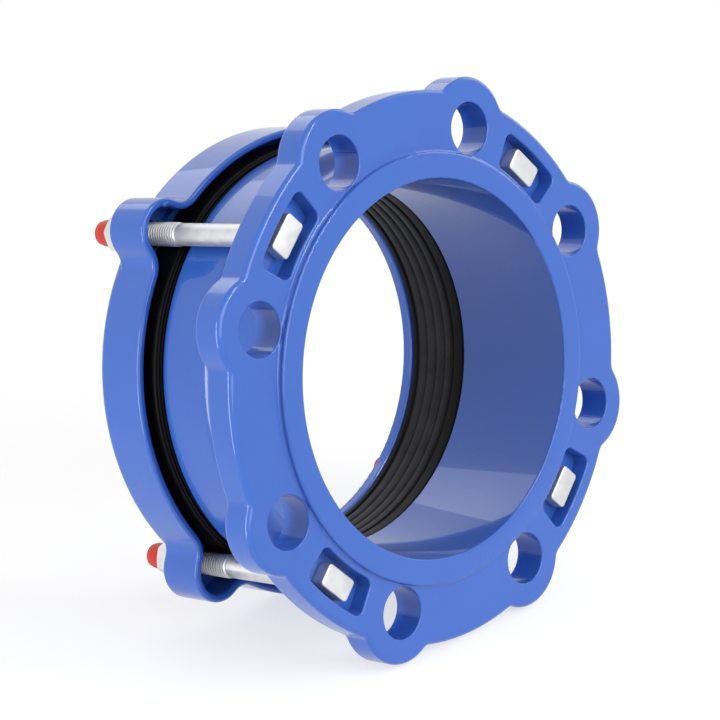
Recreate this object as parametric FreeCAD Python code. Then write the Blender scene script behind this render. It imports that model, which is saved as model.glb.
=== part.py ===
"""Flange adaptor for a DN 150 pipe, drilled for eight M20 flange bolts.

A cast body carries a scalloped flange at one end and a bell at the other. A wedge gasket sits in
the bell, and a cast follower ring is pulled against it by four T-head bolts whose nuts turn
behind the ring's hollow ears. Red caps cover the bolt ends.

Millimetres. The pipe axis is Y, +Z is up, and the origin is the centre of the sealing face. The
flange faces -Y and the pipe enters from +Y.
"""
import FreeCAD
import Part
import math
import os

# Barrel and bell, sized from the pipe outwards
bore_r = 93.0
bore_edge_round = 1.0
barrel_wall = 8.5
hub_fillet_r = 4.0
barrel_length = 16.0
flare_length = 16.0
bell_rise = 9.0
bell_length = 30.0
bell_end_round = 5.0
bell_lip = 6.1
bell_mouth_round = 0.8
seat_depth = 12.0
seat_step = 3.2

# T-head bolts, M12, standing just outside the bell
bolt_to_bell = 2.1
head_width = 11.8
head_length = 19.6
head_thickness = 7.6
head_corner_r = 2.0
head_edge_round = 0.8
shank_r = 5.5
thread_r = 5.9
thread_lead = 4.0
thread_end_chamfer = 1.0
bolt_hole_room = 1.1

# Flange: eight lobes that follow the holes, which stand clear of the barrel on a 240 mm circle
hole_circle_room = 18.5
hole_count = 8
hole_r = 13.0
hole_edge_round = 0.8
first_hole_deg = 22.5
lobe_wall = 12.5
rim_margin = 16.0
rim_neck_r = 6.0
rim_edge_round = 2.5
raised_face_margin = 1.0
raised_face_height = 3.0
raised_face_round = 1.4
flange_thickness = 20.0

# Pockets for the bolt heads, between every second pair of holes
pocket_count = 4
first_pocket_deg = 45.0
pocket_room_in = 3.6
pocket_room_out = 3.4
pocket_half_deg = 9.6
pocket_floor = 8.0
pocket_corner_r = 4.0
pocket_edge_round = 1.0

# Gasket: a wedge in the bell mouth, a shoulder under the skirt and ribs on the bore
gasket_bore_room = 0.3
gasket_clearance = 0.3
gasket_bolt_gap = 0.8
gasket_shoulder_gap = 1.4
gasket_nose_round = 0.8
gasket_back_wall = 3.7
gasket_back_rake = 9.0
shoulder_line_rise = 0.6
shoulder_line_width = 1.2
shoulder_line_gap = 1.9
nose_land = 8.1
rib_count = 4
rib_pitch = 6.4
rib_groove_depth = 1.1
rib_groove_width = 1.5

# Follower ring: a skirt with four hollow ears in front of a solid web
skirt_room = 4.2
skirt_wall = 4.0
skirt_gap = 4.0
skirt_depth = 13.0
lip_round = 1.7
follower_bore_room = 0.5
follower_bore_round = 1.2
follower_back_round = 4.0
ear_r = 16.0
ear_offset = 3.0
ear_neck_r = 10.0
ear_floor_depth = 4.5
ear_floor_wall = 9.0
ear_back_round = 3.0
back_step = 3.5
spot_face_r = 13.0
inner_lip_length = 6.5

# Washers, nuts and caps
washer_r = 12.0
washer_bore_r = 6.5
washer_thickness = 2.5
nut_flats = 18.0
nut_height = 10.8
nut_chamfer_deg = 30.0
nut_seat_gap = 0.05
nut_thread_clearance = 0.05
cap_wall = 0.7
cap_clearance = 0.1
cap_length = 11.6
cap_gap_to_nut = 0.5
cap_end_gap = 0.8
cap_dome_share = 0.62

# How far a cutter runs past what it cuts, and how near an edge must lie to count as found
overrun = 1.0
edge_reach = 0.1

# Radii that follow from the ones above
barrel_r = bore_r + barrel_wall
bell_r = barrel_r + bell_rise
bell_mouth_r = bell_r - bell_lip
seat_root_r = bore_r + seat_step
bolt_circle_r = bell_r + bolt_to_bell + thread_r
bolt_hole_r = thread_r + bolt_hole_room
pocket_inner_r = bolt_circle_r - head_width / 2 - pocket_room_in
pocket_outer_r = bolt_circle_r + head_width / 2 + pocket_room_out
hole_circle_r = barrel_r + hole_circle_room
lobe_r = hole_r + lobe_wall
rim_r = hole_circle_r + rim_margin
raised_face_r = min(hole_circle_r - hole_r - raised_face_margin, pocket_inner_r - raised_face_height)
plate_join_r = raised_face_r + raised_face_height - raised_face_round
gasket_bore_r = bore_r + gasket_bore_room
gasket_outer_r = bolt_circle_r - thread_r - gasket_bolt_gap
gasket_back_inner_r = gasket_bore_r + gasket_back_wall
follower_bore_r = bore_r + follower_bore_room
skirt_inner_r = gasket_outer_r + skirt_room
skirt_r = skirt_inner_r + skirt_wall
ear_centre_r = bolt_circle_r + ear_offset

# Places along the pipe axis, from the sealing face
pocket_floor_y = flange_thickness - pocket_floor
flare_start_y = flange_thickness + barrel_length
bell_end_y = flare_start_y + flare_length + bell_length
seat_y = bell_end_y - seat_depth
gasket_shoulder_y = bell_end_y + gasket_shoulder_gap
rib_start_y = seat_y + gasket_clearance + nose_land
thread_start_y = bell_end_y - thread_lead
skirt_front_y = bell_end_y + skirt_gap
web_front_y = skirt_front_y + skirt_depth
ear_floor_y = web_front_y + ear_floor_depth
ear_back_y = ear_floor_y + ear_floor_wall
follower_back_y = ear_back_y + back_step
bolt_head_y = pocket_floor_y - head_thickness
washer_y = ear_back_y
nut_y = washer_y + washer_thickness + nut_seat_gap
cap_y = nut_y + nut_height + cap_gap_to_nut
cap_inner_r = thread_r + cap_clearance
cap_outer_r = cap_inner_r + cap_wall
cap_end_y = cap_y + cap_length
bolt_end_y = cap_end_y - cap_wall - cap_end_gap

origin = FreeCAD.Vector(0, 0, 0)
pipe_axis = FreeCAD.Vector(0, 1, 0)
full_turn = 360.0


def polar(radius, degrees, y=0.0):
    """A point at a radius and an angle about the pipe axis, measured from +X towards +Z."""
    angle = math.radians(degrees)
    return FreeCAD.Vector(radius * math.cos(angle), y, radius * math.sin(angle))


def line(start, end):
    return Part.LineSegment(start, end).toShape()


def arc(start, middle, end):
    return Part.Arc(start, middle, end).toShape()


def profile_point(radius, y):
    return FreeCAD.Vector(radius, y, 0)


def round_corner(centre, radius, start_deg, end_deg):
    """An arc in the radius and Y plane about a centre given as (radius, y)."""
    points = []
    for degrees in (start_deg, (start_deg + end_deg) / 2, end_deg):
        angle = math.radians(degrees)
        x = centre[0] + radius * math.cos(angle)
        y = centre[1] + radius * math.sin(angle)
        points.append(profile_point(x, y))
    return arc(*points)


def revolve(steps, axis_at=origin):
    """Turn a closed profile about the pipe axis. Steps are (radius, y) points and ready arcs."""
    edges = []
    last = None
    first = None
    for step in steps:
        if isinstance(step, tuple):
            start = end = profile_point(*step)
        else:
            start, end = step.firstVertex(True).Point, step.lastVertex(True).Point
        if last is not None and last.distanceToPoint(start) > 1e-7:
            edges.append(line(last, start))
        if not isinstance(step, tuple):
            edges.append(step)
        if first is None:
            first = start
        last = end
    edges.append(line(last, first))
    solid = Part.Face(Part.Wire(edges)).revolve(origin, pipe_axis, full_turn)
    return moved(solid, axis_at)


def moved(shape, offset):
    copy = shape.copy()
    copy.translate(offset)
    return copy


def spaced(first_deg, count):
    return [first_deg + i * full_turn / count for i in range(count)]


def cylinder(radius, y_from, y_to, at=origin):
    return Part.makeCylinder(radius, y_to - y_from, at + FreeCAD.Vector(0, y_from, 0), pipe_axis)


def bumpy_outline(rim, bump, bump_centre, neck, angles, y):
    """A round face whose rim swells into bumps, each joined to the rim by two neck arcs."""
    cosine = (rim + neck) ** 2 + bump_centre ** 2 - (bump + neck) ** 2
    cosine = cosine / (2 * (rim + neck) * bump_centre)
    swing = math.degrees(math.acos(cosine))
    step = full_turn / len(angles)
    edges = []
    for middle in angles:
        centre = polar(bump_centre, middle, y)
        sides = []
        for side in (-1, 1):
            neck_centre = polar(rim + neck, middle + side * swing, y)
            towards = (centre - neck_centre).normalize()
            on_bump = neck_centre + towards * neck
            on_rim = polar(rim, middle + side * swing, y)
            bisector = (towards + (on_rim - neck_centre).normalize()).normalize()
            sides.append((on_rim, neck_centre + bisector * neck, on_bump))
        before, after = sides
        edges.append(arc(*before))
        edges.append(arc(before[2], polar(bump_centre + bump, middle, y), after[2]))
        edges.append(arc(after[2], after[1], after[0]))
        next_rim = polar(rim, middle + step - swing, y)
        edges.append(arc(after[0], polar(rim, middle + step / 2, y), next_rim))
    return Part.Face(Part.Wire(edges))


def extrude(face, length):
    return face.extrude(FreeCAD.Vector(0, length, 0))


def edges_at(shape, y):
    """The edges of a shape that lie flat at one Y."""
    found = []
    for edge in shape.Edges:
        box = edge.BoundBox
        if abs(box.YMin - y) < 1e-4 and abs(box.YMax - y) < 1e-4:
            found.append(edge)
    return found


def inside_of(edges, radius):
    """Edges that stay within a radius of the pipe axis."""
    return [e for e in edges if all(math.hypot(v.X, v.Z) < radius for v in e.Vertexes)]


def outside_of(edges, radius):
    return [e for e in edges if all(math.hypot(v.X, v.Z) > radius for v in e.Vertexes)]


def flared_hole(radius, y_from, y_to, edge_round, at):
    """A cutter for a through hole whose two edges are rounded over."""
    wide = radius + edge_round
    spare = flange_thickness
    return revolve([
        (0, y_from - spare),
        (wide, y_from - spare),
        round_corner((wide, y_from + edge_round), edge_round, 270, 180),
        round_corner((wide, y_to - edge_round), edge_round, 180, 90),
        (wide, y_to + spare),
        (0, y_to + spare),
    ], at)


def pocket_cutter(middle_deg, y_from, y_to):
    """A sector of a ring with rounded upright corners."""
    corners = [
        polar(pocket_inner_r, middle_deg - pocket_half_deg, y_from),
        polar(pocket_outer_r, middle_deg - pocket_half_deg, y_from),
        polar(pocket_outer_r, middle_deg + pocket_half_deg, y_from),
        polar(pocket_inner_r, middle_deg + pocket_half_deg, y_from),
    ]
    outer_middle = polar(pocket_outer_r, middle_deg, y_from)
    inner_middle = polar(pocket_inner_r, middle_deg, y_from)
    wire = Part.Wire([
        line(corners[0], corners[1]),
        arc(corners[1], outer_middle, corners[2]),
        line(corners[2], corners[3]),
        arc(corners[3], inner_middle, corners[0]),
    ])
    solid = extrude(Part.Face(wire), y_to - y_from)
    upright = [e for e in solid.Edges if abs(e.BoundBox.YLength - (y_to - y_from)) < 1e-4]
    corner = min(pocket_corner_r, (pocket_outer_r - pocket_inner_r) / 3)
    return solid.makeFillet(corner, upright)


def make_flange_plate():
    """The scalloped plate with its pockets, before the bolt holes."""
    angles = spaced(first_hole_deg, hole_count)
    face = bumpy_outline(rim_r, lobe_r, hole_circle_r, rim_neck_r, angles, raised_face_height)
    plate = extrude(face, flange_thickness - raised_face_height)
    rim_edges = edges_at(plate, raised_face_height) + edges_at(plate, flange_thickness)
    plate = plate.makeFillet(rim_edge_round, rim_edges)
    plate = plate.cut(cylinder(plate_join_r, 0, flange_thickness + overrun))
    for middle in spaced(first_pocket_deg, pocket_count):
        plate = plate.cut(pocket_cutter(middle, 0, pocket_floor_y))
    pocket_rims = outside_of(edges_at(plate, raised_face_height), plate_join_r + edge_reach)
    pocket_rims = inside_of(pocket_rims, pocket_outer_r + edge_reach)
    return plate.makeFillet(pocket_edge_round, pocket_rims)


def make_flange_body():
    """The casting: raised face, barrel, flare and bell turned in one profile, joined to the plate."""
    face_round = raised_face_round
    foot_round = raised_face_height - face_round
    rise = bell_r - barrel_r
    flare_r = (flare_length ** 2 + rise ** 2) / (4 * rise)
    flare_deg = math.degrees(math.asin(flare_length / 2 / flare_r))
    flare_end_y = flare_start_y + flare_length
    hub_end_y = flange_thickness + hub_fillet_r
    taper_deg = math.degrees(math.atan2(bell_end_y - seat_y, bell_mouth_r - seat_root_r))
    mouth = bell_mouth_round
    turned = revolve([
        round_corner((bore_r + bore_edge_round, bore_edge_round), bore_edge_round, 180, 270),
        round_corner((raised_face_r - face_round, face_round), face_round, 270, 360),
        round_corner((raised_face_r + foot_round, face_round), foot_round, 180, 90),
        (plate_join_r, flange_thickness),
        round_corner((barrel_r + hub_fillet_r, hub_end_y), hub_fillet_r, 270, 180),
        round_corner((barrel_r + flare_r, flare_start_y), flare_r, 180, 180 - flare_deg),
        round_corner((bell_r - flare_r, flare_end_y), flare_r, -flare_deg, 0),
        round_corner((bell_r - bell_end_round, bell_end_y - bell_end_round), bell_end_round, 0, 90),
        round_corner((bell_mouth_r + mouth, bell_end_y - mouth), mouth, 90, 90 + taper_deg),
        (seat_root_r, seat_y),
        (bore_r, seat_y),
    ])
    body = turned.fuse(make_flange_plate())
    for middle in spaced(first_hole_deg, hole_count):
        at = polar(hole_circle_r, middle)
        cutter = flared_hole(hole_r, raised_face_height, flange_thickness, hole_edge_round, at)
        body = body.cut(cutter)
    for middle in spaced(first_pocket_deg, pocket_count):
        at = polar(bolt_circle_r, middle)
        body = body.cut(cylinder(bolt_hole_r, 0, flange_thickness + overrun, at))
    return body.removeSplitter()


def web_face_y(radius):
    """The Y of the follower's raked inner face, which the gasket's back lies against."""
    share = (skirt_inner_r - radius) / (skirt_inner_r - gasket_back_inner_r)
    return web_front_y + share * gasket_back_rake


def make_follower_ring():
    """The follower casting: an outline with four ears, hollow from the front, on a solid web."""
    angles = spaced(first_pocket_deg, pocket_count)
    outer = bumpy_outline(skirt_r, ear_r, ear_centre_r, ear_neck_r, angles, skirt_front_y)
    block = extrude(outer, ear_back_y - skirt_front_y)
    block = block.makeFillet(ear_back_round, edges_at(block, ear_back_y))
    inner_ear = ear_r - skirt_wall
    inner_neck = ear_neck_r + skirt_wall
    inner = bumpy_outline(skirt_inner_r, inner_ear, ear_centre_r, inner_neck, angles, skirt_front_y)
    shell = block.cut(extrude(inner, web_front_y - skirt_front_y))
    shell = shell.makeFillet(lip_round, edges_at(shell, skirt_front_y))
    back = follower_back_round
    backing = revolve([
        (0, web_front_y),
        (skirt_r, web_front_y),
        round_corner((skirt_r - back, follower_back_y - back), back, 0, 90),
        (0, follower_back_y),
    ])
    ear_hollows = extrude(inner, ear_floor_y - skirt_front_y).cut(
        cylinder(skirt_inner_r, 0, follower_back_y))
    ring = shell.fuse(backing).cut(ear_hollows)
    lip_y = follower_back_y - inner_lip_length
    bore_round = follower_bore_round
    opening = revolve([
        (0, web_front_y - overrun),
        (skirt_inner_r, web_front_y - overrun),
        (skirt_inner_r, web_front_y),
        (gasket_back_inner_r, web_face_y(gasket_back_inner_r)),
        round_corner((follower_bore_r + bore_round, lip_y + bore_round), bore_round, 225, 180),
        round_corner((follower_bore_r + bore_round, follower_back_y - bore_round), bore_round,
                     180, 90),
        (follower_bore_r + bore_round, follower_back_y + overrun),
        (0, follower_back_y + overrun),
    ])
    ring = ring.cut(opening)
    past_y = follower_back_y + overrun
    for middle in angles:
        at = polar(bolt_circle_r, middle)
        ring = ring.cut(cylinder(bolt_hole_r, web_front_y - overrun, past_y, at))
        ring = ring.cut(cylinder(spot_face_r, ear_back_y, past_y, at))
    return ring.removeSplitter()


def shoulder_line(radius):
    """A small raised line on the gasket's shoulder, as profile points from the inside out."""
    half = shoulder_line_width / 2
    top = gasket_shoulder_y - shoulder_line_rise
    return [
        (radius - half, gasket_shoulder_y),
        (radius, top),
        (radius + half, gasket_shoulder_y),
    ]


def make_gasket():
    """The rubber wedge ring: nose in the bell, shoulder under the skirt, ribs on the bore."""
    gap = gasket_clearance
    slope = (bell_mouth_r - seat_root_r) / (bell_end_y - seat_y)
    nose_y = seat_y + gap
    wedge_offset = gap * math.hypot(1, slope)
    nose_r = seat_root_r + slope * gap - wedge_offset
    throat_r = nose_r + slope * (gasket_shoulder_y - nose_y)
    back_inner_y = web_face_y(gasket_back_inner_r) - gap
    nose = gasket_nose_round
    line_outer_r = gasket_outer_r - shoulder_line_gap
    line_inner_r = line_outer_r - shoulder_line_gap
    steps = [
        (gasket_bore_r, nose_y),
        (nose_r - nose, nose_y),
        (nose_r, nose_y + nose),
        (throat_r, gasket_shoulder_y),
    ]
    steps += shoulder_line(line_inner_r) + shoulder_line(line_outer_r)
    steps += [
        (gasket_outer_r - nose, gasket_shoulder_y),
        (gasket_outer_r, gasket_shoulder_y + nose),
        (gasket_outer_r, web_face_y(gasket_outer_r) - gap),
        (gasket_back_inner_r, back_inner_y),
        (gasket_bore_r, back_inner_y),
    ]
    gasket = revolve(steps)
    groove_r = gasket_bore_r + rib_groove_depth
    for i in range(rib_count + 1):
        y = rib_start_y + i * rib_pitch
        groove = revolve([
            (gasket_bore_r - overrun, y - rib_groove_width),
            (groove_r, y - rib_groove_width / 4),
            (groove_r, y + rib_groove_width / 4),
            (gasket_bore_r - overrun, y + rib_groove_width),
        ])
        gasket = gasket.cut(groove)
    return gasket


def make_t_bolt():
    """One T-head bolt standing on its own axis, with the long side of its head along X."""
    corner = FreeCAD.Vector(-head_length / 2, bolt_head_y, -head_width / 2)
    head = Part.makeBox(head_length, head_thickness, head_width, corner)
    upright = [e for e in head.Edges if abs(e.BoundBox.YLength - head_thickness) < 1e-4]
    head = head.makeFillet(head_corner_r, upright)
    head = head.makeFillet(head_edge_round, edges_at(head, bolt_head_y))
    chamfer = thread_end_chamfer
    shank = revolve([
        (0, pocket_floor_y - overrun),
        (shank_r, pocket_floor_y - overrun),
        (shank_r, thread_start_y - chamfer),
        (thread_r, thread_start_y),
        (thread_r, bolt_end_y - chamfer),
        (thread_r - chamfer, bolt_end_y),
        (0, bolt_end_y),
    ])
    return head.fuse(shank).removeSplitter()


def make_washer():
    edge = washer_thickness / 8
    return revolve([
        (washer_bore_r, washer_y),
        (washer_r, washer_y),
        (washer_r, washer_y + washer_thickness - edge),
        (washer_r - edge, washer_y + washer_thickness),
        (washer_bore_r, washer_y + washer_thickness),
    ])


def make_nut():
    """A hexagon nut whose corners are turned down at both ends."""
    corner_r = nut_flats / 2 / math.cos(math.radians(30))
    corners = [polar(corner_r, i * 60, nut_y) for i in range(6)]
    hexagon = Part.Face(Part.makePolygon(corners + corners[:1]))
    drop = (corner_r - nut_flats / 2) * math.tan(math.radians(nut_chamfer_deg))
    turned = revolve([
        (thread_r + nut_thread_clearance, nut_y),
        (nut_flats / 2, nut_y),
        (corner_r, nut_y + drop),
        (corner_r, nut_y + nut_height - drop),
        (nut_flats / 2, nut_y + nut_height),
        (thread_r + nut_thread_clearance, nut_y + nut_height),
    ])
    return extrude(hexagon, nut_height).common(turned)


def make_cap():
    """A push-on plastic cap: a thin sleeve with a domed closed end."""
    dome = cap_outer_r * cap_dome_share
    inner_end_y = bolt_end_y + cap_end_gap
    bulge_r = (cap_outer_r - dome) + dome * math.cos(math.radians(45))
    bulge_y = cap_end_y - dome + dome * math.sin(math.radians(45))
    return revolve([
        (cap_inner_r, cap_y),
        (cap_outer_r, cap_y),
        arc(profile_point(cap_outer_r, cap_end_y - dome), profile_point(bulge_r, bulge_y),
            profile_point(cap_outer_r - dome, cap_end_y)),
        (0, cap_end_y),
        (0, inner_end_y),
        (cap_inner_r, inner_end_y),
    ])


def at_station(shape, degrees):
    """Put a piece that was made on the pipe axis at one bolt station, X turned to the tangent."""
    placed = shape.copy()
    placed.rotate(origin, pipe_axis, 90 - degrees)
    placed.translate(polar(bolt_circle_r, degrees))
    return placed


def main():
    nodes = {
        "flange_body": make_flange_body(),
        "follower_ring": make_follower_ring(),
        "gasket": make_gasket(),
    }
    repeated = {
        "t_bolt": make_t_bolt(),
        "washer": make_washer(),
        "hex_nut": make_nut(),
        "thread_cap": make_cap(),
    }
    for number, degrees in enumerate(spaced(first_pocket_deg, pocket_count), start=1):
        for name, shape in repeated.items():
            nodes[f"{name}_{number}"] = at_station(shape, degrees)
    os.makedirs("parts", exist_ok=True)
    for name, shape in nodes.items():
        solid = shape.Solids[0]
        if len(shape.Solids) != 1 or not solid.isValid():
            raise ValueError(f"{name} is not one valid solid")
        solid.exportStep(f"parts/{name}.step")
        print(f"{name}: {solid.Volume / 1000:.1f} cm3")


main()
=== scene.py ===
import math

import bmesh
import bpy
from mathutils import Matrix, Vector


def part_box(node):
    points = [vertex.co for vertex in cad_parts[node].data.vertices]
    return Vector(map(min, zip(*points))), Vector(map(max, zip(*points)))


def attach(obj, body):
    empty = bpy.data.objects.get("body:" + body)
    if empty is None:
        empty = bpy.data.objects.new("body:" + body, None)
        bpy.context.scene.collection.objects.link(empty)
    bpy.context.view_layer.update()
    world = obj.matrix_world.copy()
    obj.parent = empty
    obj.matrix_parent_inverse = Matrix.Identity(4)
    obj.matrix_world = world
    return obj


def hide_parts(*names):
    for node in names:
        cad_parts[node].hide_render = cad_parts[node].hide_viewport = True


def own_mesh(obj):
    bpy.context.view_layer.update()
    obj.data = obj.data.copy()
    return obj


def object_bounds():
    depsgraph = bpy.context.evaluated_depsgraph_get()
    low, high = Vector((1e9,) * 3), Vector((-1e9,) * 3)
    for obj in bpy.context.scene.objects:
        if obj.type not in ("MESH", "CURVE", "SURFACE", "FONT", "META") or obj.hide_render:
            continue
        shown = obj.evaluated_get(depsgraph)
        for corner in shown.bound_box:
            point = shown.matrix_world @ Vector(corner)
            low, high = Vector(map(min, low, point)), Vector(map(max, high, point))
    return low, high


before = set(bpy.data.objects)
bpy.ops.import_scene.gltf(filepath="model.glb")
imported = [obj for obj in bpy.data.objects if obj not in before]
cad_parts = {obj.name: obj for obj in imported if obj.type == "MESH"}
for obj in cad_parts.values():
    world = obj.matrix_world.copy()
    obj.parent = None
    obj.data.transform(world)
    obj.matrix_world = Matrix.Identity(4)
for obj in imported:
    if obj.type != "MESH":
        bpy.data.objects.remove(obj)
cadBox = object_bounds()
mm = 0.001
stations = (1, 2, 3, 4)  # upper right, upper left, lower left, lower right, seen from the flange
noiseLow, noiseHigh = 0.2, 0.8  # a noise texture mostly stays between these
print("frame loaded:", len(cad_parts), "nodes")


# Shader helpers

def newMaterial(name):
    material = bpy.data.materials.new(name)
    material.use_nodes = True
    nodes = material.node_tree.nodes
    return material, nodes, material.node_tree.links, nodes["Principled BSDF"]


def addNode(nodes, kind, **values):
    node = nodes.new(kind)
    for key, value in values.items():
        setattr(node, key, value)
    return node


def setInputs(node, **values):
    for key, value in values.items():
        node.inputs[key].default_value = value
    return node


def newGroup(name, inputs, outputs):
    group = bpy.data.node_groups.new(name, "ShaderNodeTree")
    for label, kind, value in inputs:
        socket = group.interface.new_socket(label, in_out="INPUT", socket_type=kind)
        socket.default_value = value
    for label, kind in outputs:
        group.interface.new_socket(label, in_out="OUTPUT", socket_type=kind)
    start, end = group.nodes.new("NodeGroupInput"), group.nodes.new("NodeGroupOutput")
    return group, group.nodes, group.links, start, end


def placeGroup(nodes, group, **values):
    node = nodes.new("ShaderNodeGroup")
    node.node_tree = group
    return setInputs(node, **values)


# Surface effects that several finishes share

def makeSkinGroup():
    # long lumps under a fine peel, as on a coated or moulded surface
    group, nodes, links, start, end = newGroup(
        "moulded skin",
        [("Lump Size", "NodeSocketFloat", 0.02), ("Peel Size", "NodeSocketFloat", 0.001),
         ("Peel Share", "NodeSocketFloat", 0.3)],
        [("Height", "NodeSocketFloat"), ("Tone", "NodeSocketFloat")])
    coordinates = nodes.new("ShaderNodeTexCoord")
    heights = []
    for label, detail in (("Lump Size", 2.0), ("Peel Size", 1.0)):
        scale = addNode(nodes, "ShaderNodeMath", operation="DIVIDE")
        scale.inputs[0].default_value = 1.0
        links.new(start.outputs[label], scale.inputs[1])
        noise = setInputs(nodes.new("ShaderNodeTexNoise"), Detail=detail)
        links.new(coordinates.outputs["Object"], noise.inputs["Vector"])
        links.new(scale.outputs[0], noise.inputs["Scale"])
        heights.append(noise.outputs["Fac"])
    mix = addNode(nodes, "ShaderNodeMix", data_type="FLOAT")
    links.new(start.outputs["Peel Share"], mix.inputs["Factor"])
    links.new(heights[0], mix.inputs["A"])
    links.new(heights[1], mix.inputs["B"])
    links.new(mix.outputs["Result"], end.inputs["Height"])
    links.new(heights[0], end.inputs["Tone"])
    return group


def makeSpeckGroup():
    # small round specks, each at full value in its middle, in a share of the cells of a grid
    group, nodes, links, start, end = newGroup(
        "sparse specks",
        [("Cell Size", "NodeSocketFloat", 0.01), ("Speck Share", "NodeSocketFloat", 0.1),
         ("Cell Share", "NodeSocketFloat", 0.2)],
        [("Mask", "NodeSocketFloat")])
    coordinates = nodes.new("ShaderNodeTexCoord")
    scale = addNode(nodes, "ShaderNodeMath", operation="DIVIDE")
    scale.inputs[0].default_value = 1.0
    links.new(start.outputs["Cell Size"], scale.inputs[1])
    cells = nodes.new("ShaderNodeTexVoronoi")
    links.new(coordinates.outputs["Object"], cells.inputs["Vector"])
    links.new(scale.outputs[0], cells.inputs["Scale"])
    near = addNode(nodes, "ShaderNodeMapRange", interpolation_type="SMOOTHSTEP")
    near.inputs["To Min"].default_value = 1.0
    near.inputs["To Max"].default_value = 0.0
    links.new(cells.outputs["Distance"], near.inputs["Value"])
    links.new(start.outputs["Speck Share"], near.inputs["From Max"])
    channels = nodes.new("ShaderNodeSeparateColor")
    links.new(cells.outputs["Color"], channels.inputs["Color"])
    chosen = addNode(nodes, "ShaderNodeMath", operation="LESS_THAN")
    links.new(channels.outputs["Red"], chosen.inputs[0])
    links.new(start.outputs["Cell Share"], chosen.inputs[1])
    mask = addNode(nodes, "ShaderNodeMath", operation="MULTIPLY")
    links.new(near.outputs["Result"], mask.inputs[0])
    links.new(chosen.outputs[0], mask.inputs[1])
    links.new(mask.outputs[0], end.inputs["Mask"])
    return group


def makeBandGroup():
    # full value between two places along the pipe axis and inside a radius, fading out over a soft edge
    group, nodes, links, start, end = newGroup(
        "bore band",
        [("From", "NodeSocketFloat", 0.0), ("To", "NodeSocketFloat", 0.1), ("Radius", "NodeSocketFloat", 0.1),
         ("Soft Edge", "NodeSocketFloat", 0.002)],
        [("Mask", "NodeSocketFloat")])
    coordinates = nodes.new("ShaderNodeTexCoord")
    axes = nodes.new("ShaderNodeSeparateXYZ")
    links.new(coordinates.outputs["Object"], axes.inputs["Vector"])
    across = nodes.new("ShaderNodeCombineXYZ")
    links.new(axes.outputs["X"], across.inputs["X"])
    links.new(axes.outputs["Z"], across.inputs["Z"])
    radius = addNode(nodes, "ShaderNodeVectorMath", operation="LENGTH")
    links.new(across.outputs[0], radius.inputs[0])
    limits = ((axes.outputs["Y"], start.outputs["From"]), (start.outputs["To"], axes.outputs["Y"]),
              (start.outputs["Radius"], radius.outputs["Value"]))
    for k, (larger, smaller) in enumerate(limits):
        reach = addNode(nodes, "ShaderNodeMath", operation="SUBTRACT")
        links.new(larger, reach.inputs[0])
        links.new(smaller, reach.inputs[1])
        share = addNode(nodes, "ShaderNodeMath", operation="DIVIDE", use_clamp=True)
        links.new(reach.outputs[0], share.inputs[0])
        links.new(start.outputs["Soft Edge"], share.inputs[1])
        if k == 0:
            mask = share.outputs[0]
            continue
        product = addNode(nodes, "ShaderNodeMath", operation="MULTIPLY")
        links.new(mask, product.inputs[0])
        links.new(share.outputs[0], product.inputs[1])
        mask = product.outputs[0]
    links.new(mask, end.inputs["Mask"])
    return group


def makeToneGroup():
    # swings a colour lighter and darker round its own value
    group, nodes, links, start, end = newGroup(
        "tone drift",
        [("Color", "NodeSocketColor", (0.5, 0.5, 0.5, 1)), ("Tone", "NodeSocketFloat", 0.5),
         ("Swing", "NodeSocketFloat", 0.1)],
        [("Color", "NodeSocketColor")])
    span = addNode(nodes, "ShaderNodeMapRange")
    span.inputs["From Min"].default_value = noiseLow
    span.inputs["From Max"].default_value = noiseHigh
    low = addNode(nodes, "ShaderNodeMath", operation="SUBTRACT")
    low.inputs[0].default_value = 1.0
    high = addNode(nodes, "ShaderNodeMath", operation="ADD")
    high.inputs[0].default_value = 1.0
    links.new(start.outputs["Swing"], low.inputs[1])
    links.new(start.outputs["Swing"], high.inputs[1])
    links.new(low.outputs[0], span.inputs["To Min"])
    links.new(high.outputs[0], span.inputs["To Max"])
    links.new(start.outputs["Tone"], span.inputs["Value"])
    scale = addNode(nodes, "ShaderNodeVectorMath", operation="SCALE")
    links.new(start.outputs["Color"], scale.inputs["Vector"])
    links.new(span.outputs["Result"], scale.inputs["Scale"])
    links.new(scale.outputs["Vector"], end.inputs["Color"])
    return group


skinGroup = makeSkinGroup()
speckGroup = makeSpeckGroup()
bandGroup = makeBandGroup()
toneGroup = makeToneGroup()


hollowRange = (0.3, 0.9)  # openness of the deepest hollow that gets painted shade, and of the first


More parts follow.
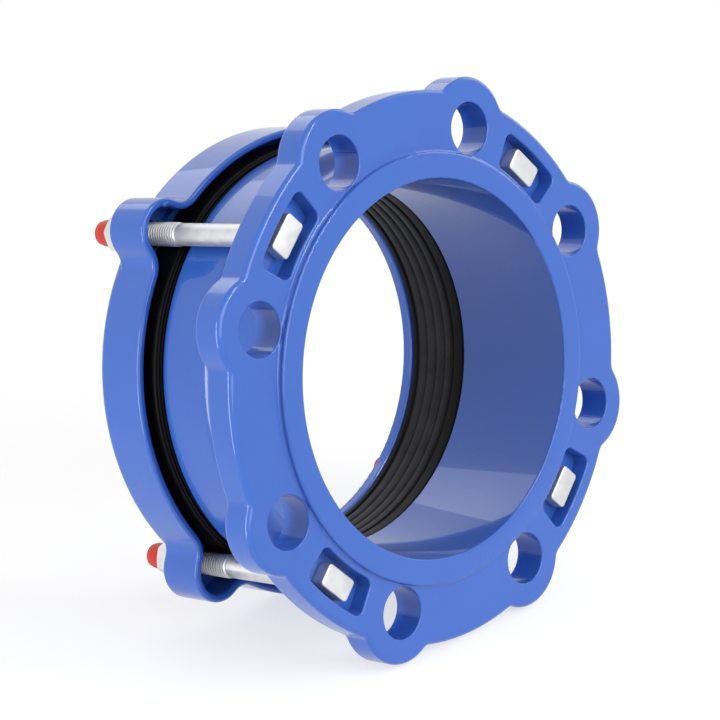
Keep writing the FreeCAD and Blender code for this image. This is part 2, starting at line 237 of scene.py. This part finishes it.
def makeFinish(name, look):
    # one moulded or plated finish: colour drift, roughness drift, specks, painted shade in hollows and a bump
    # from the skin
    material, nodes, links, shader = newMaterial(name)
    skin = placeGroup(nodes, skinGroup, **{"Lump Size": look["lumpSize"], "Peel Size": look["peelSize"],
                                           "Peel Share": look["peelShare"]})
    specks = placeGroup(nodes, speckGroup, **{
        "Cell Size": look["speckCell"], "Speck Share": look["speckShare"], "Cell Share": look["speckCells"]})
    tone = placeGroup(nodes, toneGroup, Color=(*look["color"], 1), Swing=look["colorSwing"])
    links.new(skin.outputs["Tone"], tone.inputs["Tone"])
    speckled = addNode(nodes, "ShaderNodeMix", data_type="RGBA")
    colorIn, colorOut = speckled.inputs[6], speckled.outputs[2]
    speckled.inputs[7].default_value = (*look["speckColor"], 1)
    links.new(specks.outputs["Mask"], speckled.inputs["Factor"])
    links.new(tone.outputs["Color"], colorIn)
    # painted shade: narrow hollows such as thread roots and corners are darkened in the base colour by
    # ambient occlusion, where less light reaches
    hollow = addNode(nodes, "ShaderNodeAmbientOcclusion", samples=8)
    hollow.inputs["Distance"].default_value = look["hollowReach"]
    shade = setInputs(nodes.new("ShaderNodeMapRange"), **{
        "From Min": hollowRange[0], "From Max": hollowRange[1],
        "To Min": 1 - look["hollowShade"], "To Max": 1.0})
    links.new(hollow.outputs["AO"], shade.inputs["Value"])
    shaded = addNode(nodes, "ShaderNodeVectorMath", operation="SCALE")
    links.new(colorOut, shaded.inputs["Vector"])
    links.new(shade.outputs["Result"], shaded.inputs["Scale"])
    links.new(shaded.outputs["Vector"], shader.inputs["Base Color"])
    rough = setInputs(nodes.new("ShaderNodeMapRange"), **{
        "From Min": noiseLow, "From Max": noiseHigh,
        "To Min": look["roughness"][0], "To Max": look["roughness"][1]})
    links.new(skin.outputs["Tone"], rough.inputs["Value"])
    links.new(rough.outputs["Result"], shader.inputs["Roughness"])
    bump = setInputs(nodes.new("ShaderNodeBump"), Strength=look["bumpStrength"], Distance=look["bumpDepth"])
    links.new(skin.outputs["Height"], bump.inputs["Height"])
    raised = setInputs(nodes.new("ShaderNodeBump"), Strength=look["speckStrength"],
                       Distance=look["speckHeight"])
    links.new(specks.outputs["Mask"], raised.inputs["Height"])
    links.new(bump.outputs["Normal"], raised.inputs["Normal"])
    links.new(raised.outputs["Normal"], shader.inputs["Normal"])
    for socket, key in (("Metallic", "metallic"), ("Specular IOR Level", "specular"), ("Coat Weight", "coat"),
                        ("Coat Roughness", "coatRoughness"), ("Subsurface Weight", "subsurface")):
        if key in look:
            shader.inputs[socket].default_value = look[key]
    return material


# Blue coating on the two castings

coatLook = {
    "color": (0.034, 0.130, 0.540),
    "colorSwing": 0.03,
    "roughness": (0.28, 0.36),
    "specular": 0.25,
    "coat": 0.7,
    "coatRoughness": 0.03,
    "lumpSize": 0.024,
    "peelSize": 0.003,
    "peelShare": 0.22,
    "bumpStrength": 0.5,
    "bumpDepth": 0.0007,
    "speckCell": 0.016,
    "speckShare": 0.045,
    "speckCells": 0.25,
    "speckColor": (0.045, 0.150, 0.540),
    "speckStrength": 0.6,
    "speckHeight": 0.0003,
    # painted shade in hollows, such as pocket walls and corners: how far it reaches and how dark it gets
    "hollowReach": 0.007,
    "hollowShade": 0.30,
}
coated = makeFinish("blue coating", coatLook)

# Black rubber of the gasket

rubberLook = {
    "color": (0.003, 0.003, 0.0033),
    "colorSwing": 0.25,
    "roughness": (0.40, 0.52),
    "specular": 0.11,
    # a lighter, patchy grey on the gasket's ribs, between two places along the pipe and inside a radius
    "ribGreyFrom": 0.079,
    "ribGreyTo": 0.103,
    "ribGreyRadius": 0.099,
    "ribGreyEdge": 0.002,
    "ribGreySize": 0.012,
    "ribGreyPeel": 0.001,
    "ribGreyPeelShare": 0.4,
    "ribGreyNoise": (0.25, 0.75),
    "ribGreyLeast": 0.4,  # what is left of the lighter grey where it is thinnest
    "ribGreyColor": (0.044, 0.043, 0.046),
    "lumpSize": 0.009,
    "peelSize": 0.0006,
    "peelShare": 0.5,
    "bumpStrength": 0.25,
    "bumpDepth": 0.0002,
    "speckCell": 0.004,
    "speckShare": 0.06,
    "speckCells": 0.3,
    "speckColor": (0.030, 0.030, 0.031),
    "speckStrength": 0.2,
    "speckHeight": 0.0001,
    # painted shade in hollows, such as the grooves between the ribs: how far it reaches and how dark it gets
    "hollowReach": 0.003,
    "hollowShade": 0.5,
}
rubber = makeFinish("moulded rubber", rubberLook)


def addRibGrey(material, look):
    # a lighter grey on the ribs, patchy as the skin is
    nodes, links = material.node_tree.nodes, material.node_tree.links
    shader = nodes["Principled BSDF"]
    band = placeGroup(nodes, bandGroup, **{"From": look["ribGreyFrom"], "To": look["ribGreyTo"],
                                           "Radius": look["ribGreyRadius"], "Soft Edge": look["ribGreyEdge"]})
    skin = placeGroup(nodes, skinGroup, **{"Lump Size": look["ribGreySize"], "Peel Size": look["ribGreyPeel"],
                                           "Peel Share": look["ribGreyPeelShare"]})
    patchy = setInputs(nodes.new("ShaderNodeMapRange"), **{
        "From Min": look["ribGreyNoise"][0], "From Max": look["ribGreyNoise"][1], "To Min": look["ribGreyLeast"]})
    links.new(skin.outputs["Height"], patchy.inputs["Value"])
    share = addNode(nodes, "ShaderNodeMath", operation="MULTIPLY")
    links.new(band.outputs["Mask"], share.inputs[0])
    links.new(patchy.outputs["Result"], share.inputs[1])
    mix = addNode(nodes, "ShaderNodeMix", data_type="RGBA")
    links.new(share.outputs[0], mix.inputs["Factor"])
    links.new(shader.inputs["Base Color"].links[0].from_socket, mix.inputs[6])
    mix.inputs[7].default_value = (*look["ribGreyColor"], 1)
    links.new(mix.outputs[2], shader.inputs["Base Color"])


addRibGrey(rubber, rubberLook)

# Zinc plate on bolts, nuts and washers

zincLook = {
    "color": (0.66, 0.665, 0.67),
    "colorSwing": 0.07,
    "metallic": 0.85,
    "roughness": (0.40, 0.55),
    "lumpSize": 0.005,
    "peelSize": 0.0005,
    "peelShare": 0.4,
    "bumpStrength": 0.3,
    "bumpDepth": 0.0001,
    "speckCell": 0.0025,
    "speckShare": 0.12,
    "speckCells": 0.25,
    "speckColor": (0.50, 0.50, 0.51),
    "speckStrength": 0.2,
    "speckHeight": 0.00005,
    # painted shade in hollows, such as thread roots, head sides and contacts: how far it reaches and how dark
    # it gets
    "hollowReach": 0.0035,
    "hollowShade": 0.85,
}
zinc = makeFinish("zinc plate", zincLook)

# Red plastic of the caps

redLook = {
    "color": (0.66, 0.040, 0.024),
    "colorSwing": 0.05,
    "roughness": (0.36, 0.46),
    "specular": 0.35,
    "subsurface": 0.04,
    "lumpSize": 0.006,
    "peelSize": 0.0005,
    "peelShare": 0.4,
    "bumpStrength": 0.2,
    "bumpDepth": 0.0001,
    "speckCell": 0.004,
    "speckShare": 0.05,
    "speckCells": 0.15,
    "speckColor": (0.58, 0.032, 0.020),
    "speckStrength": 0.2,
    "speckHeight": 0.00005,
    # painted shade in hollows and corners: how far it reaches and how dark it gets
    "hollowReach": 0.002,
    "hollowShade": 0.3,
}
red = makeFinish("red plastic", redLook)
print("materials made")


def dress(piece, material):
    piece.data.materials.clear()
    piece.data.materials.append(material)


# Mesh helpers

def meshObject(name, vertices, faces, material, body):
    mesh = bpy.data.meshes.new(name)
    mesh.from_pydata(vertices, [], faces)
    bm = bmesh.new()
    bm.from_mesh(mesh)
    bmesh.ops.remove_doubles(bm, verts=bm.verts, dist=1e-7)
    bmesh.ops.dissolve_degenerate(bm, edges=bm.edges, dist=1e-8)
    bmesh.ops.recalc_face_normals(bm, faces=bm.faces)
    bm.to_mesh(mesh)
    bm.free()
    piece = bpy.data.objects.new(name, mesh)
    bpy.context.scene.collection.objects.link(piece)
    dress(piece, material)
    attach(piece, body)
    return piece


def smoothByAngle(piece, degrees):
    # smooth faces with a crease wherever two of them meet at more than the angle
    mesh = piece.data
    mesh.shade_smooth()
    bm = bmesh.new()
    bm.from_mesh(mesh)
    for edge in bm.edges:
        if len(edge.link_faces) == 2:
            edge.smooth = edge.calc_face_angle(0) < math.radians(degrees)
    bm.to_mesh(mesh)
    bm.free()


def roundedLine(corners, steps):
    # points along a closed outline of (radius, y, round) corners, with an arc at each rounded corner
    points = []
    count = len(corners)
    for i, (radius, y, rounding) in enumerate(corners):
        corner = Vector((radius, y))
        if rounding == 0:
            points.append(corner)
            continue
        before = (Vector(corners[i - 1][:2]) - corner).normalized()
        after = (Vector(corners[(i + 1) % count][:2]) - corner).normalized()
        half = before.angle(after) / 2
        reach = rounding / math.tan(half)
        centre = corner + (before + after).normalized() * (rounding / math.sin(half))
        first = corner + before * reach - centre
        last = corner + after * reach - centre
        turn = first.angle_signed(last)
        for k in range(steps + 1):
            points.append(centre + Matrix.Rotation(-turn * k / steps, 2) @ first)
    return points


def turnedMesh(points, segments, centre=(0, 0)):
    # vertices and faces of a closed outline turned about an axis along Y through centre (x, z)
    vertices = []
    faces = []
    count = len(points)
    for s in range(segments):
        angle = 2 * math.pi * s / segments
        for radius, y in points:
            vertices.append((centre[0] + radius * math.cos(angle), y, centre[1] + radius * math.sin(angle)))
        nextS = (s + 1) % segments
        for i in range(count):
            j = (i + 1) % count
            faces.append((s * count + i, s * count + j, nextS * count + j, nextS * count + i))
    return vertices, faces


# The two castings keep their solids' shape

castingSettings = {
    "seam": 0.002 * mm,  # points closer than this are one
    "hardCorner": 60,  # degrees from which an edge stays hard
    "areaWeight": 50,
}


def evenShading(piece, c):
    # one smooth run of shading over each rounded edge, broken only at the hard corners
    joined = piece.modifiers.new("joined seams", "WELD")
    joined.merge_threshold = c["seam"]
    split = piece.modifiers.new("hard corners", "EDGE_SPLIT")
    split.split_angle = math.radians(c["hardCorner"])
    split.use_edge_sharp = False
    weighted = piece.modifiers.new("even shading", "WEIGHTED_NORMAL")
    weighted.mode = "FACE_AREA_WITH_ANGLE"
    weighted.weight = c["areaWeight"]


for node in ("flange_body", "follower_ring"):
    dress(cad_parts[node], coated)
    evenShading(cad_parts[node], castingSettings)


# Washers, nuts and caps keep their solids' shape under a fine rounding

smallPartSettings = {
    "edgeRound": 0.2 * mm,
    "roundSteps": 2,
    "edgeAngle": 35,  # degrees from which an edge is rounded
}


def softenEdges(piece, s):
    bevel = piece.modifiers.new("soft edges", "BEVEL")
    bevel.width = s["edgeRound"]
    bevel.segments = s["roundSteps"]
    bevel.limit_method = "ANGLE"
    bevel.angle_limit = math.radians(s["edgeAngle"])
    bevel.harden_normals = True


for i in stations:
    for kind, material in (("washer", zinc), ("hex_nut", zinc), ("thread_cap", red)):
        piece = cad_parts[f"{kind}_{i}"]
        dress(piece, material)
        softenEdges(piece, smallPartSettings)
print("solids dressed")


# A bead where the coating has run together on the upper left ear

beadSettings = {
    "earRadius": 121.5 * mm,
    "fromEar": 13.0 * mm,
    "angle": 84,  # about the ear's middle, from +X towards +Z
    "size": (2.1 * mm, 1.0 * mm, 1.4 * mm),
    "rise": 0.6 * mm,
    "segments": 24,
    "rings": 14,
}


def makeBead(b):
    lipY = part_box("follower_ring")[0].y
    middle = b["earRadius"] / math.sqrt(2)
    angle = math.radians(b["angle"])
    centre = Vector((-middle + b["fromEar"] * math.cos(angle), lipY + b["rise"],
                     middle + b["fromEar"] * math.sin(angle)))
    bm = bmesh.new()
    bmesh.ops.create_uvsphere(bm, u_segments=b["segments"], v_segments=b["rings"], radius=1)
    vertices = [centre + Vector([v.co[k] * b["size"][k] for k in range(3)]) for v in bm.verts]
    faces = [[v.index for v in face.verts] for face in bm.faces]
    bm.free()
    bead = meshObject("coating_bead", vertices, faces, coated, "follower")
    bead.data.shade_smooth()


makeBead(beadSettings)


# Gasket: a rounded lip and fine ribs on the bore, and two fine lines on the shoulder

gasketSettings = {
    "ribCount": 4,
    "firstGroove": 8.4 * mm,  # from the nose to the first groove
    "ribPitch": 6.4 * mm,
    "grooveDepth": 1.1 * mm,
    "grooveHalf": 1.2 * mm,
    "crestRound": 0.9 * mm,
    "ribCrown": 0.25 * mm,  # how far a rib's middle stands in from its edges
    "noseWall": 2.7 * mm,
    "lipRound": 1.9 * mm,
    "noseRound": 0.7 * mm,
    "throatWall": 11.6 * mm,
    "shoulder": 13.1 * mm,  # from the nose to the shoulder's front
    "shoulderRound": 0.9 * mm,
    "lineGap": 1.9 * mm,
    "lineRise": 0.6 * mm,
    "lineHalf": 0.6 * mm,
    "backRound": 0.6 * mm,
    "backWall": 3.7 * mm,
    "outerBack": 7.0 * mm,  # how far the rim's back lies in front of the bore's back
    "boreWall": 18.5 * mm,  # from the bore to the rim
    "segments": 256,
    "arcSteps": 4,
    "crease": 40,  # degrees
    "squeezeFrom": 80 * mm,  # the place along the pipe that stays when the follower squeezes it
    "squeezedShare": 0.60,
}


def makeGasket(g):
    low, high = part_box("gasket")
    noseY, backY, outerR = low.y, high.y, high.x
    boreR = outerR - g["boreWall"]
    shoulderY = noseY + g["shoulder"]
    corners = [(boreR, noseY, g["lipRound"]), (boreR + g["noseWall"], noseY, g["noseRound"]),
               (boreR + g["throatWall"], shoulderY, 0)]
    for k in (2, 1):
        lineR = outerR - k * g["lineGap"]
        corners.append((lineR - g["lineHalf"], shoulderY, 0))
        corners.append((lineR, shoulderY - g["lineRise"], 0))
        corners.append((lineR + g["lineHalf"], shoulderY, 0))
    corners.append((outerR, shoulderY, g["shoulderRound"]))
    corners.append((outerR, backY - g["outerBack"], g["backRound"]))
    corners.append((boreR + g["backWall"], backY, g["backRound"]))
    corners.append((boreR, backY, g["backRound"]))
    for k in reversed(range(g["ribCount"] + 1)):
        y = noseY + g["firstGroove"] + k * g["ribPitch"]
        corners.append((boreR, y + g["grooveHalf"], g["crestRound"]))
        corners.append((boreR + g["grooveDepth"], y, g["crestRound"] / 3))
        corners.append((boreR, y - g["grooveHalf"], g["crestRound"]))
        if k > 0:
            corners.append((boreR - g["ribCrown"], y - g["ribPitch"] / 2, g["crestRound"]))
    points = roundedLine(corners, g["arcSteps"])
    vertices, faces = turnedMesh(points, g["segments"])
    gasket = meshObject("gasket_rubber", vertices, faces, rubber, "adaptor_body")
    smoothByAngle(gasket, g["crease"])
    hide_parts("gasket")
    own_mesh(gasket)


makeGasket(gasketSettings)
print("gasket made")


# T-head bolts: a forged head, a plain shank and a rolled thread

boltSettings = {
    "headLong": 19.6 * mm,
    "headWide": 11.8 * mm,
    "headThick": 7.6 * mm,
    "headCorner": 2.0 * mm,
    "headRound": 0.9 * mm,
    "shankR": 5.5 * mm,
    "threadR": 5.9 * mm,
    "rootR": 4.95 * mm,
    "pitch": 1.75 * mm,
    "threadStart": 73.6 * mm,  # from the face of the head
    "runOut": 2.5 * mm,
    "endChamfer": 1.0 * mm,
    "turnSegments": 40,
    "crestFlat": 0.125,  # shares of the pitch
    "rootFlat": 0.2,
    "headRoundSteps": 4,
    "headCornerSteps": 6,
    "leastCorner": 0.2 * mm,
    "shankOverlap": 0.5 * mm,  # how far the shank reaches into the head
    "crease": 35,  # degrees
}


def headRings(b, y):
    # outlines of the head from its rounded face to its underside, along local X and Z
    rings = []
    for k in range(b["headRoundSteps"] + 1):
        angle = math.pi / 2 * k / b["headRoundSteps"]
        inset = b["headRound"] * (1 - math.sin(angle))
        rings.append((inset, y + b["headRound"] * (1 - math.cos(angle))))
    rings.append((0, y + b["headThick"]))
    outlines = []
    for inset, ringY in rings:
        outline = []
        corner = max(b["headCorner"] - inset, b["leastCorner"])
        halfX = b["headLong"] / 2 - inset - corner
        halfZ = b["headWide"] / 2 - inset - corner
        for quarter, (signX, signZ) in enumerate(((1, 1), (-1, 1), (-1, -1), (1, -1))):
            for k in range(b["headCornerSteps"] + 1):
                angle = math.pi / 2 * (quarter + k / b["headCornerSteps"])
                outline.append((signX * halfX + corner * math.cos(angle), ringY,
                                signZ * halfZ + corner * math.sin(angle)))
        outlines.append(outline)
    return outlines


def loftFaces(ringSize, ringCount, start=0):
    faces = []
    for k in range(ringCount - 1):
        for i in range(ringSize):
            j = (i + 1) % ringSize
            a = start + k * ringSize
            faces.append((a + i, a + j, a + ringSize + j, a + ringSize + i))
    return faces


def threadRadius(b, phase, y, startY, endY):
    # radius of a flat-topped thread at a phase from 0 to 1, faded in at its start, chamfered at its end
    flank = (1 - b["crestFlat"] - b["rootFlat"]) / 2
    if phase < b["crestFlat"]:
        rise = 1.0
    elif phase < b["crestFlat"] + flank:
        rise = 1 - (phase - b["crestFlat"]) / flank
    elif phase < b["crestFlat"] + flank + b["rootFlat"]:
        rise = 0.0
    else:
        rise = (phase - b["crestFlat"] - flank - b["rootFlat"]) / flank
    cut = b["rootR"] + (b["threadR"] - b["rootR"]) * rise
    fade = min(1.0, max(0.0, (y - startY) / b["runOut"]))
    radius = b["shankR"] + (cut - b["shankR"]) * fade
    return min(radius, b["threadR"] - b["endChamfer"] + max(0.0, endY - y))


def makeBolt(b, i):
    low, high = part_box(f"t_bolt_{i}")
    centre = (low + high) / 2
    faceY, endY = low.y, high.y
    turn = math.atan2(centre.z, centre.x) - math.pi / 2  # the head's long side lies along the rim
    vertices = []
    outlines = headRings(b, faceY)
    for outline in outlines:
        vertices += outline
    size = len(outlines[0])
    faces = loftFaces(size, len(outlines))
    faces.append(tuple(range(size)))
    last = len(vertices) - size
    faces.append(tuple(range(last, last + size)))

    # shank and thread as one skin, its rows sheared so that every crest follows the helix
    segments = b["turnSegments"]
    flank = (1 - b["crestFlat"] - b["rootFlat"]) / 2
    phases = (0, b["crestFlat"], b["crestFlat"] + flank, b["crestFlat"] + flank + b["rootFlat"])
    startY = faceY + b["threadStart"]
    base = len(vertices)
    turns = math.ceil((endY - startY) / b["pitch"]) + 2
    rows = turns * len(phases)
    for row in range(rows):
        wraps, step = divmod(row, len(phases))
        for s in range(segments):
            along = startY + (wraps - 1 + phases[step] + s / segments) * b["pitch"]
            y = min(endY, max(startY, along))
            radius = threadRadius(b, phases[step], y, startY, endY)
            angle = -2 * math.pi * s / segments
            vertices.append((radius * math.cos(angle), y, radius * math.sin(angle)))
    for row in range(rows - len(phases)):
        for s in range(segments):
            a = base + row * segments + s
            if s + 1 < segments:
                faces.append((a, a + 1, a + 1 + segments, a + segments))
            else:
                wrapped = base + (row + len(phases)) * segments
                faces.append((a, wrapped, wrapped + segments, a + segments) if row + len(phases) + 1 < rows
                             else (a, wrapped, a + segments))
    shankBase = len(vertices)
    for y in (faceY + b["headThick"] - b["shankOverlap"], startY):
        for s in range(segments):
            angle = -2 * math.pi * s / segments
            vertices.append((b["shankR"] * math.cos(angle), y, b["shankR"] * math.sin(angle)))
    faces += loftFaces(segments, 2, shankBase)
    place = Matrix.Translation((centre.x, 0, centre.z)) @ Matrix.Rotation(-turn, 4, "Y")
    placed = [place @ Vector(v) for v in vertices]
    bolt = meshObject(f"bolt_{i}", placed, faces, zinc, "adaptor_body")
    smoothByAngle(bolt, b["crease"])
    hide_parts(f"t_bolt_{i}")


for i in stations:
    makeBolt(boltSettings, i)
print("bolts made")


# Camera at the photograph's viewpoint

cameraSettings = {
    "place": (-0.8773, -0.8516, 0.2604),
    "right": (0.6923, -0.7085, -0.1366),
    "up": (0.2383, 0.0458, 0.9701),
    "lens": 127.97,  # in millimetres, as is the sensor
    "sensor": 36,
    "farthest": 20,
}


def makeCamera(c):
    data = bpy.data.cameras.new("camera")
    data.lens = c["lens"]
    data.sensor_width = c["sensor"]
    data.clip_end = c["farthest"]
    camera = bpy.data.objects.new("camera", data)
    right = Vector(c["right"]).normalized()
    up = Vector(c["up"])
    up = (up - right * up.dot(right)).normalized()
    turn = Matrix((right, up, right.cross(up))).transposed()
    camera.matrix_world = Matrix.Translation(c["place"]) @ turn.to_4x4()
    bpy.context.scene.collection.objects.link(camera)
    bpy.context.scene.camera = camera


makeCamera(cameraSettings)


# Floor: a pale disc under the three lowest places, where the part tips back onto its follower ring

floorSettings = {
    "radius": 0.55,
    "segments": 96,
    "plate": 20 * mm,  # from the sealing face to the flange's back
    "ringRadius": 120 * mm,  # of the follower ring between its ears
    "rimRound": 2.5 * mm,  # rounding of the flange's back edge
    "backRound": 4 * mm,  # rounding of the follower ring's back edge
    "gap": 0.1 * mm,
    "reach": 0.1,  # share of the part's diagonal by which the floor's middle lies behind the flange's foot
    "tone": 0.86,
    "roughness": 0.9,
    "specular": 0.1,
    "shadeShare": 0.45,
    "glow": 0.66,
    "fadeStart": 0.26,
    "fadeEnd": 0.50,
}


def makeFloor(f):
    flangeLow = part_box("flange_body")[0]
    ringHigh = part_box("follower_ring")[1]
    spread = (cadBox[1] - cadBox[0]).length
    flangeZ = flangeLow.z + f["rimRound"]
    flangeY = f["plate"] - f["rimRound"]
    ringZ = f["backRound"] - f["ringRadius"]
    ringY = ringHigh.y - f["backRound"]
    run = Vector((ringY - flangeY, ringZ - flangeZ))
    tilt = math.atan2(run.y, run.x) - math.asin((f["backRound"] - f["rimRound"]) / run.length)
    normal = Vector((0, -math.sin(tilt), math.cos(tilt)))
    touch = Vector((0, flangeY, flangeZ)) - normal * (f["rimRound"] + f["gap"])
    mesh = bpy.data.meshes.new("floor")
    bm = bmesh.new()
    bmesh.ops.create_circle(bm, cap_ends=True, radius=f["radius"], segments=f["segments"])
    bm.to_mesh(mesh)
    bm.free()
    floor = bpy.data.objects.new("floor", mesh)
    centre = touch + Vector((0, math.cos(tilt), math.sin(tilt))) * spread * f["reach"]
    floor.matrix_world = Matrix.Translation(centre) @ Matrix.Rotation(tilt, 4, "X")
    bpy.context.scene.collection.objects.link(floor)
    return floor


floor = makeFloor(floorSettings)


def makeFloorMaterial(f):
    # to the camera and in reflections, white wherever the part doesn't shade it; clear from below and
    # beyond its middle
    material, nodes, links, shader = newMaterial("pale floor")
    shader.inputs["Base Color"].default_value = (f["tone"], f["tone"], f["tone"], 1)
    shader.inputs["Roughness"].default_value = f["roughness"]
    shader.inputs["Specular IOR Level"].default_value = f["specular"]
    shade = addNode(nodes, "ShaderNodeBsdfDiffuse")
    shade.inputs["Color"].default_value = (f["shadeShare"], f["shadeShare"], f["shadeShare"], 1)
    glow = setInputs(nodes.new("ShaderNodeEmission"), Strength=f["glow"])
    lifted = nodes.new("ShaderNodeAddShader")
    links.new(shade.outputs[0], lifted.inputs[0])
    links.new(glow.outputs[0], lifted.inputs[1])
    rays = nodes.new("ShaderNodeLightPath")
    direct = addNode(nodes, "ShaderNodeMath", operation="MAXIMUM")
    links.new(rays.outputs["Is Camera Ray"], direct.inputs[0])
    links.new(rays.outputs["Is Glossy Ray"], direct.inputs[1])
    seen = nodes.new("ShaderNodeMixShader")
    links.new(direct.outputs[0], seen.inputs["Fac"])
    links.new(shader.outputs[0], seen.inputs[1])
    links.new(lifted.outputs[0], seen.inputs[2])
    coordinates = nodes.new("ShaderNodeTexCoord")
    distance = addNode(nodes, "ShaderNodeVectorMath", operation="LENGTH")
    links.new(coordinates.outputs["Object"], distance.inputs[0])
    away = addNode(nodes, "ShaderNodeMapRange", interpolation_type="SMOOTHSTEP")
    setInputs(away, **{"From Min": f["fadeStart"], "From Max": f["fadeEnd"]})
    links.new(distance.outputs["Value"], away.inputs["Value"])
    geometry = nodes.new("ShaderNodeNewGeometry")
    clear = addNode(nodes, "ShaderNodeMath", operation="MAXIMUM")
    links.new(away.outputs["Result"], clear.inputs[0])
    links.new(geometry.outputs["Backfacing"], clear.inputs[1])
    mixed = nodes.new("ShaderNodeMixShader")
    links.new(clear.outputs[0], mixed.inputs["Fac"])
    links.new(seen.outputs[0], mixed.inputs[1])
    links.new(nodes.new("ShaderNodeBsdfTransparent").outputs[0], mixed.inputs[2])
    links.new(mixed.outputs[0], nodes["Material Output"].inputs["Surface"])
    return material


dress(floor, makeFloorMaterial(floorSettings))


# Light

lightSettings = {
    "topBack": {"azimuth": 152, "elevation": 52, "distance": 1.1, "size": (0.95, 0.5), "power": 2.0},
    "left": {"azimuth": -96, "elevation": 4, "distance": 1.1, "size": (0.30, 0.8), "power": 6.8},
    "front": {"azimuth": -7, "elevation": 14, "distance": 1.6, "size": (1.6, 1.1), "power": 16.0},
    "strip": {"azimuth": 10, "elevation": 32, "distance": 1.2, "size": (0.14, 0.7), "power": 2.8},
    "right": {"azimuth": 75, "elevation": 25, "distance": 1.3, "size": (0.6, 0.8), "power": 2.0},
}
worldSettings = {"ambient": 0.34, "shown": 1.0}


def makeLights(settings):
    # azimuth 0 stands in front of the flange and 90 to its right
    centre = (cadBox[0] + cadBox[1]) / 2
    for name, s in settings.items():
        azimuth, elevation = math.radians(s["azimuth"]), math.radians(s["elevation"])
        towards = Vector((math.sin(azimuth) * math.cos(elevation), -math.cos(azimuth) * math.cos(elevation),
                          math.sin(elevation)))
        data = bpy.data.lights.new(name, "AREA")
        data.shape = "RECTANGLE"
        data.size, data.size_y = s["size"]
        data.energy = s["power"]
        lamp = bpy.data.objects.new(name, data)
        lamp.location = centre + towards * s["distance"]
        lamp.rotation_mode = "QUATERNION"
        lamp.rotation_quaternion = towards.to_track_quat("Z", "Y")
        bpy.context.scene.collection.objects.link(lamp)


def makeWorld(w):
    world = bpy.data.worlds.new("studio")
    bpy.context.scene.world = world
    world.use_nodes = True
    nodes, links = world.node_tree.nodes, world.node_tree.links
    nodes.clear()
    output = nodes.new("ShaderNodeOutputWorld")
    background = nodes.new("ShaderNodeBackground")
    rays = nodes.new("ShaderNodeLightPath")
    seen = addNode(nodes, "ShaderNodeMath", operation="MAXIMUM")
    links.new(rays.outputs["Is Camera Ray"], seen.inputs[0])
    links.new(rays.outputs["Is Glossy Ray"], seen.inputs[1])
    seenToo = addNode(nodes, "ShaderNodeMath", operation="MAXIMUM")
    links.new(seen.outputs[0], seenToo.inputs[0])
    links.new(rays.outputs["Is Transmission Ray"], seenToo.inputs[1])
    strength = setInputs(nodes.new("ShaderNodeMapRange"), **{"To Min": w["ambient"], "To Max": w["shown"]})
    links.new(seenToo.outputs[0], strength.inputs["Value"])
    links.new(strength.outputs["Result"], background.inputs["Strength"])
    background.inputs["Color"].default_value = (1, 1, 1, 1)
    links.new(background.outputs[0], output.inputs["Surface"])


makeLights(lightSettings)
makeWorld(worldSettings)
bpy.context.scene.view_settings.view_transform = "Standard"
print("camera, floor and light set")
